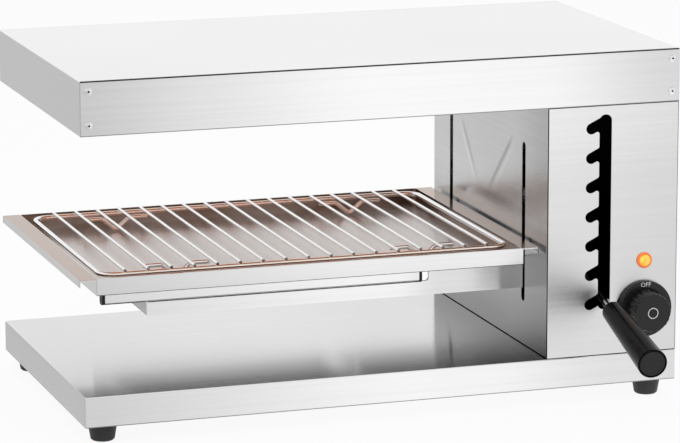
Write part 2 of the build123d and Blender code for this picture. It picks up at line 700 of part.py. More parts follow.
GRIP_NECK_R = 9
GRIP_R0 = 10.4
GRIP_R1 = 14.4
GRIP_RIM = 1.1
CAP_R = 12.8
with BuildPart() as lever_grip:
    with BuildSketch(lever_plane):
        with BuildLine():
            Polyline(
                (GRIP_START, ROD_R + FIT), (GRIP_START, ROD_R + 1.2),
                (GRIP_START + 1.8, GRIP_NECK_R), (GRIP_START + 4.5, GRIP_R0),
                (GRIP_END - 2, GRIP_R1),
            )
            ThreePointArc(
                (GRIP_END - 2, GRIP_R1), (GRIP_END - 0.6, GRIP_R1 - 0.4),
                (GRIP_END, GRIP_R1 - GRIP_RIM),
            )
            Polyline(
                (GRIP_END, GRIP_R1 - GRIP_RIM), (GRIP_END - 1, CAP_R + 0.1), (GRIP_END - 4, CAP_R + 0.1),
                (GRIP_END - 4, 0), (GRIP_START + 101, 0), (GRIP_START + 101, ROD_R + FIT),
                (GRIP_START, ROD_R + FIT),
            )
        make_face()
    revolve(axis=Axis(pivot, lever_dir))
finish(lever_grip, "lever_grip")

with BuildPart() as grip_cap:
    with BuildSketch(along(GRIP_END - 3.9)):
        Circle(CAP_R)
    extrude(amount=3)
    chamfer(grip_cap.edges().sort_by(Axis.Y)[0], 0.6)
finish(grip_cap, "grip_cap")

# ---------------------------------------------------------------- tray and wire grid
PAN_LEFT = TRAY_LEFT + FLANGE_W
PAN_RIGHT = TRAY_RIGHT - FLANGE_W
TRAY_SHEET = 1.0
with BuildPart() as tray:
    slab(PAN_LEFT - TRAY_SHEET, PAN_RIGHT + TRAY_SHEET, TRAY_FRONT, TRAY_BACK, RAIL_TOP, TRAY_TOP)
    fillet(tray.edges().filter_by(Axis.X).group_by(Axis.Z)[0], 2)
    with BuildSketch(Plane.XY.offset(RAIL_TOP + TRAY_SHEET)) as pan_inside:
        with Locations(((PAN_LEFT + PAN_RIGHT) / 2, (TRAY_FRONT + TRAY_BACK) / 2)):
            Rectangle(PAN_RIGHT - PAN_LEFT, TRAY_BACK - TRAY_FRONT - 2 * TRAY_SHEET)
        fillet(pan_inside.vertices(), 3)
    extrude(amount=TRAY_DEPTH, mode=Mode.SUBTRACT)
    for x0, x1, lip in (
        (TRAY_LEFT, PAN_LEFT - TRAY_SHEET, TRAY_LEFT),
        (PAN_RIGHT + TRAY_SHEET, TRAY_RIGHT, TRAY_RIGHT - TRAY_SHEET),
    ):
        slab(x0, x1, TRAY_FRONT, TRAY_BACK, TRAY_TOP - TRAY_SHEET, TRAY_TOP)
        slab(lip, lip + TRAY_SHEET, TRAY_FRONT, TRAY_BACK, TRAY_TOP - LIP_H, TRAY_TOP)
    outer = tray.edges().filter_by(Axis.Y).group_by(Axis.Z)[-1]
    fillet([outer.sort_by(Axis.X)[0], outer.sort_by(Axis.X)[-1]], 0.8)
finish(tray, "tray")

GRID_CORNER = 16
GRID_MID_X = (GRID_LEFT + GRID_RIGHT) / 2
with BuildPart() as grid_frame:
    with BuildLine() as frame_line:
        FilletPolyline(
            (GRID_LEFT, GRID_FRONT, GRID_Z), (GRID_RIGHT, GRID_FRONT, GRID_Z),
            (GRID_RIGHT, GRID_BACK, GRID_Z), (GRID_LEFT, GRID_BACK, GRID_Z),
            radius=GRID_CORNER, close=True,
        )
    frame_path = frame_line.wires()[0]
    with BuildSketch(Plane(origin=frame_path @ 0, z_dir=frame_path % 0)):
        Circle(FRAME_WIRE_R)
    sweep(path=frame_path)
finish(grid_frame, "grid_frame")

WELD = 0.3
ROD_Z = GRID_Z + FRAME_WIRE_R + ROD_WIRE_R - WELD
ROD_PITCH = (GRID_RIGHT - GRID_LEFT) / (ROD_COUNT + 1)
with BuildPart() as grid_rods:
    with BuildSketch(Plane((GRID_MID_X, GRID_FRONT - 2, ROD_Z), x_dir=(1, 0, 0), z_dir=(0, 1, 0))):
        with GridLocations(ROD_PITCH, 0, ROD_COUNT, 1):
            Circle(ROD_WIRE_R)
    extrude(amount=GRID_BACK - GRID_FRONT + 4)
finish(grid_rods, "grid_rods")

FOOT_REACH = 124.5
FOOT_HALF = 14.5
FOOT_FLAT = 33
FOOT_WIRE_R = 2
FOOT_INSIDE = 26
FOOT_TOP_Z = ROD_Z - ROD_WIRE_R - FOOT_WIRE_R + WELD
FOOT_LOW_Z = RAIL_TOP + TRAY_SHEET + FOOT_WIRE_R
with BuildPart() as grid_feet:
    for y in (GRID_FRONT + FOOT_INSIDE, GRID_BACK - FOOT_INSIDE):
        for x in (GRID_MID_X - FOOT_REACH, GRID_MID_X + FOOT_REACH):
            with BuildLine() as foot_line:
                FilletPolyline(
                    (x - FOOT_FLAT, y, FOOT_TOP_Z), (x - FOOT_HALF, y, FOOT_TOP_Z),
                    (x, y, FOOT_LOW_Z), (x + FOOT_HALF, y, FOOT_TOP_Z),
                    (x + FOOT_FLAT, y, FOOT_TOP_Z),
                    radius=4,
                )
            with BuildSketch(Plane(origin=(x - FOOT_FLAT, y, FOOT_TOP_Z), z_dir=(1, 0, 0))):
                Circle(FOOT_WIRE_R)
            sweep(path=foot_line.wires()[0])
finish(grid_feet, "grid_feet")

# ---------------------------------------------------------------- controls and electrics
knob_plane = Plane(origin=(KNOB_X, FRONT, KNOB_Z), x_dir=(1, 0, 0), z_dir=(0, -1, 0))

with BuildPart() as knob_bezel:
    with BuildSketch(knob_plane):
        Circle(KNOB_R - 3.5)
        Circle(KNOB_R - 10, mode=Mode.SUBTRACT)
    extrude(amount=1.2)
    chamfer(knob_bezel.edges().filter_by(GeomType.CIRCLE).sort_by(Axis.Y)[0:1], 0.5)
finish(knob_bezel, "knob_bezel")

SKIRT_BACK = 1.6
SKIRT_T = 4
SKIRT_FACE = SKIRT_BACK + SKIRT_T
KNOB_BODY_R = 21.5
KNOB_TAPER = 8
FLUTE_COUNT = 22
FLUTE_R = 2.4
FLUTE_DEPTH = 0.8
with BuildPart() as knob:
    with BuildSketch(knob_plane.offset(SKIRT_BACK)):
        Circle(KNOB_R)
    extrude(amount=SKIRT_T)
    fillet(knob.edges().filter_by(GeomType.CIRCLE).sort_by(Axis.Y)[0], 1.8)
    with BuildSketch(knob_plane.offset(SKIRT_FACE - 0.5)):
        Circle(KNOB_BODY_R)
    extrude(amount=KNOB_REACH - SKIRT_FACE + 0.5, taper=KNOB_TAPER)
    front_rim = knob.faces().sort_by(Axis.Y)[0].edges()
    fillet(front_rim, 1.2)
    # shallow flutes for the fingers, cut along the slanted side of the body
    for flute in range(FLUTE_COUNT):
        turn = radians(360 / FLUTE_COUNT * flute)
        outward = Vector(cos(turn), 0, sin(turn))
        start = (
            knob_plane.origin + Vector(0, -1, 0) * (SKIRT_FACE + 0.6)
            + outward * (KNOB_BODY_R - FLUTE_DEPTH + FLUTE_R)
        )
        slant = Vector(0, -cos(radians(KNOB_TAPER)), 0) - outward * sin(radians(KNOB_TAPER))
        with BuildSketch(Plane(origin=start, z_dir=slant)):
            Circle(FLUTE_R)
        extrude(amount=KNOB_REACH, mode=Mode.SUBTRACT)
    with BuildSketch(knob_plane.offset(KNOB_REACH)):
        Circle(6.2)
    extrude(amount=-1, mode=Mode.SUBTRACT)
    with BuildSketch(knob_plane):
        Circle(3 + FIT)
    extrude(amount=16, mode=Mode.SUBTRACT)
finish(knob, "knob")

with BuildPart() as knob_insert:
    with BuildSketch(knob_plane.offset(KNOB_REACH - 1)):
        Circle(6.1)
    extrude(amount=1.2)
    with BuildSketch(knob_plane.offset(KNOB_REACH + 0.2)):
        Circle(4.9)
    extrude(amount=-0.5, mode=Mode.SUBTRACT)
finish(knob_insert, "knob_insert")

REGULATOR_D = 34
with BuildPart() as regulator_shaft:
    with BuildSketch(knob_plane.offset(-PANEL_SHEET - 10)):
        Circle(3)
    extrude(amount=15.8 + PANEL_SHEET + 10)
finish(regulator_shaft, "regulator_shaft")

with BuildPart() as regulator_body:
    with BuildSketch(knob_plane.offset(-PANEL_SHEET)) as regulator_outline:
        RectangleRounded(44, 44, 4)
        Circle(3 + FIT, mode=Mode.SUBTRACT)
    extrude(amount=-11)
    with BuildSketch(knob_plane.offset(-PANEL_SHEET - 11)):
        RectangleRounded(44, 44, 4)
    extrude(amount=-REGULATOR_D + 11)
    with BuildSketch(knob_plane.offset(-PANEL_SHEET - REGULATOR_D)):
        with GridLocations(14, 18, 2, 2):
            Rectangle(6.3, 0.8)
    extrude(amount=-9)
finish(regulator_body, "regulator_body")

lamp_plane = Plane(origin=(KNOB_X, FRONT, LAMP_Z), x_dir=(1, 0, 0), z_dir=(0, -1, 0))
with BuildPart() as lamp_bezel:
    with BuildSketch(lamp_plane.offset(-24)):
        Circle(6.2)
    extrude(amount=24)
    with BuildSketch(lamp_plane):
        Circle(7.8)
    extrude(amount=2)
    chamfer(lamp_bezel.faces().sort_by(Axis.Y)[0].edges(), 0.6)
    with BuildSketch(lamp_plane.offset(2)):
        Circle(5.6)
    extrude(amount=-18, mode=Mode.SUBTRACT)
finish(lamp_bezel, "lamp_bezel")

with BuildPart() as lamp_lens:
    with BuildSketch(Plane(origin=(KNOB_X, FRONT, LAMP_Z), x_dir=(1, 0, 0), z_dir=(0, 0, 1))):
        with BuildLine():
            Polyline((0, 12), (5.5, 12), (5.5, -2.6))
            dome(5.5, -2.6, -5)
            Line((0, -5), (0, 12))
        make_face()
    revolve(axis=Axis((KNOB_X, FRONT, LAMP_Z), (0, 1, 0)))
finish(lamp_lens, "lamp_lens")

with BuildPart() as terminal_block:
    slab(215, 275, BACK - 32, BACK - 14, BASE_TOP, BASE_TOP + 18)
    with BuildSketch(Plane.XY.offset(BASE_TOP + 18)):
        with Locations((245, BACK - 23)):
            with GridLocations(10, 0, 5, 1):
                Circle(2.4)
    extrude(amount=-8, mode=Mode.SUBTRACT)
finish(terminal_block, "terminal_block")

with BuildPart() as cord_gland:
    with BuildSketch(Plane(origin=(GLAND_X, BACK, GLAND_Z), x_dir=(1, 0, 0), z_dir=(0, 0, 1))):
        with BuildLine():
            Polyline(
                (4.2, -12), (GLAND_R, -12), (GLAND_R, 0), (11, 0), (11, 4), (8.5, 5),
                (7.2, GLAND_REACH), (4.2, GLAND_REACH), (4.2, -12),
            )
        make_face()
    revolve(axis=Axis((GLAND_X, BACK, GLAND_Z), (0, 1, 0)))
finish(cord_gland, "cord_gland")

with BuildPart() as gland_nut:
    with BuildSketch(Plane(origin=(GLAND_X, BACK - SHEET, GLAND_Z), z_dir=(0, -1, 0))):
        RegularPolygon(radius=11, side_count=6, major_radius=False)
        Circle(GLAND_R + 0.1, mode=Mode.SUBTRACT)
    extrude(amount=5)
finish(gland_nut, "gland_nut")
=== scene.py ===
import math

import bmesh
import bpy
from mathutils import Matrix, Vector


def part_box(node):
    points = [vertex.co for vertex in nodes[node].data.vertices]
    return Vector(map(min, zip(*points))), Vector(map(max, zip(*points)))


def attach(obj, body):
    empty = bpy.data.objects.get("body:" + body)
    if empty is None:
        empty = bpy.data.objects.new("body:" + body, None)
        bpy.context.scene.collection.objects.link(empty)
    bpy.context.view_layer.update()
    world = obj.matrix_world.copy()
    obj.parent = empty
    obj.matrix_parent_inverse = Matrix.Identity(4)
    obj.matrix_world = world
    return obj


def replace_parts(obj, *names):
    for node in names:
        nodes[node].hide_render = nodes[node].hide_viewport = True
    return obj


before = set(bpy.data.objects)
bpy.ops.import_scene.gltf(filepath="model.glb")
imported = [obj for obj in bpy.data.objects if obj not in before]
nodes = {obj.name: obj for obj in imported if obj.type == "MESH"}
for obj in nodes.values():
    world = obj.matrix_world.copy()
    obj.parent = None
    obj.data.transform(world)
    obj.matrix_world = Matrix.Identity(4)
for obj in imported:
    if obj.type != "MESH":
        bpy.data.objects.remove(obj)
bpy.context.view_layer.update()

MM = 0.001
scene = bpy.context.scene
scene.view_settings.view_transform = "Standard"

# ---------------------------------------------------------------- camera
AZIMUTH = math.radians(-18.10627)
ELEVATION = math.radians(11.87489)
ROLL = math.radians(-0.1449)
EYE = (-1.12785, -3.39287, 0.93019)
back = Vector((
    math.sin(AZIMUTH) * math.cos(ELEVATION),
    -math.cos(AZIMUTH) * math.cos(ELEVATION),
    math.sin(ELEVATION),
))
level = Vector((math.cos(AZIMUTH), math.sin(AZIMUTH), 0))
upright = back.cross(level)
right = level * math.cos(ROLL) + upright * math.sin(ROLL)
up = upright * math.cos(ROLL) - level * math.sin(ROLL)
camera_data = bpy.data.cameras.new("camera")
camera_data.lens = 197.8
camera_data.sensor_width = 36
camera_data.clip_end = 50
camera = bpy.data.objects.new("camera", camera_data)
scene.collection.objects.link(camera)
turn = Matrix((right, up, back)).transposed().to_4x4()
camera.matrix_world = Matrix.Translation(EYE) @ turn
scene.camera = camera

# ---------------------------------------------------------------- places, from the frame
base_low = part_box("base_panel")[0]
cover_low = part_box("housing_cover")[0]
fascia_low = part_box("housing_fascia")[0]
wall_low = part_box("column_inner_side")[0]
outer_low, outer_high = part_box("column_outer_side")
panel_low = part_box("column_front_panel")[0]
tray_low, tray_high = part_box("tray")
grid_low, grid_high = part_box("grid_frame")
insert_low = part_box("knob_insert")[0]
knob_low, knob_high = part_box("knob")
KNOB = Vector(((knob_low[0] + knob_high[0]) / 2, panel_low[1], (knob_low[2] + knob_high[2]) / 2))


# ---------------------------------------------------------------- node helpers
class Shader:
    """A small wrapper that makes a material's nodes readable."""

    def __init__(self, name):
        self.material = bpy.data.materials.new(name)
        self.material.use_nodes = True
        self.tree = self.material.node_tree
        self.bsdf = self.tree.nodes["Principled BSDF"]
        self.out = self.tree.nodes["Material Output"]
        self.coords = self.add("ShaderNodeTexCoord").outputs["Object"]

    def add(self, kind, **values):
        node = self.tree.nodes.new(kind)
        for key, value in values.items():
            if hasattr(node, key):
                setattr(node, key, value)
            else:
                node.inputs[key.replace("_", " ")].default_value = value
        return node

    def link(self, source, target):
        self.tree.links.new(source, target)

    def set(self, **values):
        for key, value in values.items():
            self.bsdf.inputs[key.replace("_", " ")].default_value = value

    def feed(self, **sources):
        """Links outputs to the shader's inputs."""
        for key, source in sources.items():
            self.link(source, self.bsdf.inputs[key.replace("_", " ")])

    def noise(self, scale, detail=2.0, stretch=(1, 1, 1), rough=0.5):
        place = self.add("ShaderNodeMapping")
        place.inputs["Scale"].default_value = stretch
        self.link(self.coords, place.inputs["Vector"])
        node = self.add("ShaderNodeTexNoise", Scale=scale, Detail=detail, Roughness=rough)
        self.link(place.outputs["Vector"], node.inputs["Vector"])
        return node.outputs["Fac"]

    def math(self, operation, first, second=0.0):
        node = self.add("ShaderNodeMath", operation=operation)
        for source, socket in zip((first, second), node.inputs):
            if isinstance(source, (int, float)):
                socket.default_value = source
            else:
                self.link(source, socket)
        return node.outputs["Value"]

    def ramp(self, fac, low, high, start=0.3, end=0.7):
        """Maps a factor to a colour or, with plain numbers, to a value."""
        if isinstance(low, tuple):
            node = self.add("ShaderNodeValToRGB")
            node.color_ramp.elements[0].position = start
            node.color_ramp.elements[0].color = (*low, 1)
            node.color_ramp.elements[1].position = end
            node.color_ramp.elements[1].color = (*high, 1)
            self.link(fac, node.inputs["Fac"])
            return node.outputs["Color"]
        node = self.add("ShaderNodeMapRange")
        node.inputs["From Min"].default_value = start
        node.inputs["From Max"].default_value = end
        node.inputs["To Min"].default_value = low
        node.inputs["To Max"].default_value = high
        self.link(fac, node.inputs["Value"])
        return node.outputs["Result"]

    def axis(self, letter):
        """One coordinate of the point, in metres."""
        split = self.add("ShaderNodeSeparateXYZ")
        self.link(self.coords, split.inputs["Vector"])
        return split.outputs[letter]

    def past(self, letter, place, soft=0.0002):
        """0 below a place along an axis and 1 above it."""
        return self.ramp(self.axis(letter), 0.0, 1.0, place - soft, place + soft)

    def before(self, letter, place, soft=0.0002):
        return self.ramp(self.axis(letter), 1.0, 0.0, place - soft, place + soft)

    def both(self, *masks):
        result = masks[0]
        for mask in masks[1:]:
            result = self.math("MULTIPLY", result, mask)
        return result

    def either(self, *masks):
        result = masks[0]
        for mask in masks[1:]:
            result = self.math("MAXIMUM", result, mask)
        return result

    def mix(self, fac, first, second):
        """A colour, or a number, between two."""
        colours = isinstance(second, tuple)
        node = self.add("ShaderNodeMix", data_type="RGBA" if colours else "FLOAT")
        sockets = [s for s in node.inputs if s.type == ("RGBA" if colours else "VALUE")]
        first_socket, second_socket = sockets[-2:]
        self.link(fac, node.inputs["Factor"])
        for source, socket in ((first, first_socket), (second, second_socket)):
            if isinstance(source, tuple):
                socket.default_value = (*source, 1)
            elif isinstance(source, (int, float)):
                socket.default_value = source
            else:
                self.link(source, socket)
        kind = "RGBA" if colours else "VALUE"
        return [s for s in node.outputs if s.type == kind][0]

    def tone(self, colour, letter, stops):
        """Multiplies a colour by levels that change smoothly along an axis."""
        low, high = stops[0][0], stops[-1][0]
        along = self.ramp(self.axis(letter), 0.0, 1.0, low, high)
        node = self.add("ShaderNodeValToRGB")
        node.color_ramp.interpolation = "EASE"
        elements = node.color_ramp.elements
        while len(elements) < len(stops):
            elements.new(0.5)
        for element, (place, level) in zip(elements, stops):
            element.position = (place - low) / (high - low)
            element.color = (level, level, level, 1)
        self.link(along, node.inputs["Fac"])
        product = self.add("ShaderNodeVectorMath", operation="MULTIPLY")
        self.link(colour, product.inputs[0])
        self.link(node.outputs["Color"], product.inputs[1])
        return product.outputs["Vector"]

    def bump(self, height, strength=0.1, distance=0.0002):
        node = self.add("ShaderNodeBump", Strength=strength, Distance=distance)
        self.link(height, node.inputs["Height"])
        self.link(node.outputs["Normal"], self.bsdf.inputs["Normal"])

    def grain_tangent(self, letter):
        """Turns the gloss so that highlights spread across the grain."""
        normal = self.add("ShaderNodeNewGeometry").outputs["Normal"]
        along = self.add("ShaderNodeCombineXYZ", **{letter: 1.0})
        cross = self.add("ShaderNodeVectorMath", operation="CROSS_PRODUCT")
        self.link(along.outputs["Vector"], cross.inputs[0])
        self.link(normal, cross.inputs[1])
        # a face square to the grain keeps a direction of its own
        lean = self.add("ShaderNodeVectorMath", operation="ADD")
        lean.inputs[1].default_value = (0.03, 0, 0) if letter == "Z" else (0, 0, 0.03)
        self.link(cross.outputs["Vector"], lean.inputs[0])
        self.link(lean.outputs["Vector"], self.bsdf.inputs["Tangent"])


def stretched(axis, along=4.0, across=1600.0):
    """Noise scale per axis for grain that runs along one axis."""
    return tuple(along if a == axis else across for a in "XYZ")


def brushed(name, dark, light, rough, axis, strength=0.05, marks=(), painted_shading=()):
    """Brushed steel. Each mark is a function of the shader that gives a mask, a colour and a roughness.
    Each tone is an axis and the levels along it: painted light and shade that multiply the colour."""
    s = Shader(name)
    grain = s.noise(1.0, detail=3, stretch=stretched(axis))
    lines = s.noise(1.0, detail=2, stretch=stretched(axis, 1.5, 260.0))
    cloud = s.noise(3.5, detail=2)
    s.set(Metallic=1.0, Anisotropic=0.8)
    s.grain_tangent(axis)
    mixed = s.math("ADD", s.math("MULTIPLY", grain, 0.5), s.math("MULTIPLY", lines, 0.5))
    colour = s.ramp(mixed, dark, light, 0.35, 0.65)
    roughness = s.math("ADD", s.ramp(mixed, rough - 0.02, rough + 0.02), s.ramp(cloud, -0.02, 0.02))
    for letter, stops in painted_shading:
        colour = s.tone(colour, letter, stops)
    for mark in marks:
        mask, mark_colour, mark_rough = mark(s)
        colour = s.mix(mask, colour, mark_colour)
        roughness = s.mix(mask, roughness, mark_rough)
    s.feed(Base_Color=colour, Roughness=roughness)
    s.bump(grain, strength, 0.00003)
    return s.material


def metal(name, dark, light, rough, scale=40.0, strength=0.05):
    s = Shader(name)
    cloud = s.noise(scale, detail=4)
    s.set(Metallic=1.0)
    s.feed(
        Base_Color=s.ramp(cloud, dark, light),
        Roughness=s.ramp(cloud, rough - 0.04, rough + 0.06),
    )
    s.bump(s.noise(scale * 12), strength, 0.0001)
    return s.material


def plastic(name, dark, light, rough, scale=600.0, strength=0.06, coat=0.0, level=0.5):
    s = Shader(name)
    speck = s.noise(scale, detail=2)
    s.set(Coat_Weight=coat, Coat_Roughness=0.05, Specular_IOR_Level=level)
    s.feed(
        Base_Color=s.ramp(speck, dark, light),
        Roughness=s.ramp(s.noise(30.0), rough - 0.04, rough + 0.05),
    )
    s.bump(speck, strength, 0.0001)
    return s.material


# ---------------------------------------------------------------- materials
UNLIT = (0.012, 0.012, 0.012)
# painted shade: the dark colour of the seams along the front edges of sheets
SEAM_SHADE = (0.10, 0.10, 0.10)
# painted shade: the dark line along the bottom folds of the sheets
BOTTOM_EDGE_SHADE = (0.30, 0.30, 0.30)
# painted reflection of the glowing heaters, brown on the pan
HEATER_GLOW_BROWN = (0.15, 0.07, 0.03)
EDGE = 0.0004
CREASE_HALF = 0.0038
CREASE_FADE_IN = 0.02
CREASE_FADE_OUT = 0.03
# the two painted creases of the column's inner wall, each from one (y, z) to another
REAR_CREASE = ((0.1619, 0.2468), (0.1104, 0.1853))
FRONT_CREASE = ((0.0038, 0.251), (0.0753, 0.1826))


def cover_front_seam_shade(s):
    """The front edge of the cover's top sheet, seen over the fascia, painted dark: painted shade of the
    seam above the fascia.
    """
    return s.before("Y", cover_low[1] + EDGE), SEAM_SHADE, 0.5


# painted shade along the fascia's bottom fold
def fascia_bottom_shade(s):
    return s.before("Z", fascia_low[2] + 2 * EDGE), BOTTOM_EDGE_SHADE, 0.4


# painted shade along the base's bottom fold
def base_bottom_shade(s):
    return s.before("Z", base_low[2] + 2 * EDGE), BOTTOM_EDGE_SHADE, 0.4


def outer_front_seam_shade(s):
    """The front edge of the column's outer side, painted dark: painted shade of the seam beside the
    front panel.
    """
    return s.before("Y", outer_low[1] + EDGE), SEAM_SHADE, 0.5


def dark_inside(letter, place, outside_is_above):
    """The inside of a sheet of the column, which light hardly reaches."""
    def mark(s):
        mask = s.before(letter, place) if outside_is_above else s.past(letter, place)
        return mask, UNLIT, 0.7
    return mark


STEEL_DARK = (0.865, 0.865, 0.865)
STEEL_LIGHT = (0.915, 0.915, 0.915)


def shaded_left_end(level):
    """The folded end at the left, painted darker than the front: painted shade on the left end."""
    def mark(s):
        cloud = s.noise(4.0, detail=2)
        place = s.both(s.before("X", base_low[0] + EDGE), s.ramp(cloud, 0.85, 1.0))
        return place, (level, level, level), 0.26
    return mark


def painted_crease_flank(start, end, colour, side):
    """One flank of a crease on the wall, drawn in colour alone, from one (y, z) to another: a light
    colour is a painted highlight and a dark one painted shade, as the wall's geometry has no crease.
    """
    def mark(s):
        dy, dz = end[0] - start[0], end[1] - start[1]
        length = math.hypot(dy, dz)
        dy, dz = dy / length, dz / length
        y = s.math("SUBTRACT", s.axis("Y"), start[0])
        z = s.math("SUBTRACT", s.axis("Z"), start[1])
        along = s.math("ADD", s.math("MULTIPLY", y, dy), s.math("MULTIPLY", z, dz))
        across = s.math("SUBTRACT", s.math("MULTIPLY", y, dz), s.math("MULTIPLY", z, dy))
        offset = s.math("ABSOLUTE", s.math("SUBTRACT", across, side * CREASE_HALF))
        flank = s.ramp(offset, 0.8, 0.0, 0.0, 1.2 * CREASE_HALF)
        reach = s.both(
            s.ramp(along, 0.0, 1.0, 0.0, CREASE_FADE_IN),
            s.ramp(along, 1.0, 0.0, length - CREASE_FADE_OUT, length),
        )
        return s.both(flank, reach), colour, 0.2
    return mark


base_steel = brushed(
    "base_steel", STEEL_DARK, STEEL_LIGHT, 0.15, "X",
    marks=[base_bottom_shade, shaded_left_end(0.61)],
    painted_shading=[
        # painted shade: darker towards the right
        ("X", [(-0.30, 0.98), (-0.05, 1.02), (0.10, 0.98), (0.24, 0.82), (0.30, 0.78)]),
        # painted reflection and shadow of the arms: a dark band on the top just behind the front edge
        ("Y", [
            (base_low[1] + 0.7 * MM, 1.0), (base_low[1] + 1.8 * MM, 0.50), (-0.14, 0.52), (-0.04, 0.90),
        ]),
    ],
)
# painted light: the cover's top in lighter steel than the other sheets
lit_cover_steel = brushed(
    "lit_cover_steel", (0.96, 0.96, 0.96), (0.985, 0.985, 0.985), 0.15, "X",
    marks=[cover_front_seam_shade, shaded_left_end(0.83)],
)
fascia_steel = brushed(
    "fascia_steel", STEEL_DARK, STEEL_LIGHT, 0.22, "X", marks=[fascia_bottom_shade],
    # painted reflection: lighter in the middle, darker towards both ends
    painted_shading=[("X", [(-0.30, 0.84), (-0.18, 0.95), (0.0, 1.06), (0.15, 1.06), (0.30, 0.83)])],
)
arm_steel = brushed(
    "arm_steel", STEEL_DARK, STEEL_LIGHT, 0.2, "X",
    # painted shade: darker towards the right
    painted_shading=[("X", [(-0.26, 1.0), (0.03, 1.0), (0.08, 0.82), (0.17, 0.74)])],
)
# painted shade: the rear arm and the cross ties in darker steel than the front arm
shaded_steel = brushed("shaded_steel", (0.40, 0.40, 0.40), (0.46, 0.46, 0.46), 0.2, "X")
shaded_tie_steel = brushed("shaded_tie_steel", (0.40, 0.40, 0.40), (0.46, 0.46, 0.46), 0.2, "Y")
back_steel = brushed("back_steel", STEEL_DARK, STEEL_LIGHT, 0.24, "Z")
# painted shade: the inner wall in darker steel than the other sheets
wall_steel = brushed(
    "wall_steel", (0.74, 0.74, 0.74), (0.79, 0.79, 0.79), 0.19, "Y",
    marks=[
        dark_inside("X", wall_low[0] + EDGE, False),
        # painted highlight on one flank of each crease and painted shade on the other
        painted_crease_flank(*REAR_CREASE, (0.92, 0.92, 0.92), -1),
        painted_crease_flank(*REAR_CREASE, (0.50, 0.50, 0.50), 1),
        painted_crease_flank(*FRONT_CREASE, (0.84, 0.84, 0.84), 1),
        painted_crease_flank(*FRONT_CREASE, (0.38, 0.38, 0.38), -1),
    ],
    painted_shading=[
        # painted shade: darker low down and towards the front
        ("Z", [(0.05, 0.37), (0.13, 0.60), (0.20, 0.99), (0.30, 1.06)]),
        ("Y", [(-0.09, 0.76), (0.02, 0.97), (0.24, 1.06)]),
    ],
)
front_steel = brushed(
    "front_steel", STEEL_DARK, STEEL_LIGHT, 0.24, "X",
    marks=[dark_inside("Y", panel_low[1] + EDGE, False)],
    # painted shade: darker low down and towards the right
    painted_shading=[
        ("Z", [(0.05, 0.80), (0.12, 0.78), (0.20, 0.82), (0.30, 0.93)]),
        ("X", [(0.165, 1.03), (0.22, 1.0), (0.30, 0.95)]),
    ],
)
side_steel = brushed(
    "side_steel", STEEL_DARK, STEEL_LIGHT, 0.24, "Z",
    marks=[dark_inside("X", outer_high[0] - EDGE, True), outer_front_seam_shade],
)


FLOOR_LEVEL = 1.03 * MM


def tray_inside(s):
    """The pan's inner walls, and up to them the pan's floor, painted brown: a painted reflection of the
    glowing heaters.
    """
    back_wall = s.both(s.past("Y", tray_high[1] - 2.2 * MM), s.before("Y", tray_high[1] - 0.6 * MM))
    right_wall = s.both(s.past("X", tray_high[0] - 19 * MM), s.before("X", tray_high[0] - 17.6 * MM))
    left_wall = s.both(s.past("X", tray_low[0] + 17.6 * MM), s.before("X", tray_low[0] + 19 * MM))
    front_inside = s.before("Y", tray_low[1] + 2 * MM)
    below_rim = s.before("Z", tray_high[2] - 0.3 * MM)
    above_floor = s.past("Z", tray_low[2] + FLOOR_LEVEL, 0.00001)
    behind_front = s.past("Y", tray_low[1] + 0.6 * MM)
    walls = s.either(back_wall, right_wall, left_wall, front_inside)
    inside = s.both(walls, below_rim, above_floor, behind_front)
    cloud = s.noise(9.0, detail=3, stretch=(1, 1, 3))
    return s.math("MULTIPLY", inside, s.ramp(cloud, 0.75, 1.0)), HEATER_GLOW_BROWN, 0.12


def tray_floor(s):
    """The pan's polished floor."""
    above = s.past("Z", tray_low[2] + 0.6 * MM)
    below = s.before("Z", tray_low[2] + FLOOR_LEVEL, 0.00001)
    inside_x = s.both(s.past("X", tray_low[0] + 17.9 * MM), s.before("X", tray_high[0] - 17.9 * MM))
    return s.both(above, below, inside_x), (0.71, 0.66, 0.64), 0.2


def tray_underside_shade(s):
    """The pan's underside, painted darker: painted shade under the pan."""
    return s.before("Z", tray_low[2] + 0.3 * MM, 0.0001), (0.34, 0.33, 0.32), 0.25


def tray_flanges_glow(s):
    """The flat flanges beside the pan, painted a light brown: a painted reflection of the glowing
    heaters.
    """
    outside = s.either(s.before("X", tray_low[0] + 17.5 * MM), s.past("X", tray_high[0] - 17.5 * MM))
    return s.both(outside, s.past("Z", tray_high[2] - 0.3 * MM)), (0.51, 0.40, 0.34), 0.16


tray_steel = brushed(
    "tray_steel", (0.79, 0.79, 0.79), (0.84, 0.84, 0.84), 0.16, "X", 0.03,
    marks=[tray_inside, tray_floor, tray_underside_shade, tray_flanges_glow],
)
bright = metal("bright_steel", (0.80, 0.80, 0.80), (0.88, 0.88, 0.88), 0.15)
zinc = metal("zinc_steel", (0.45, 0.46, 0.48), (0.62, 0.63, 0.65), 0.38, 25.0)
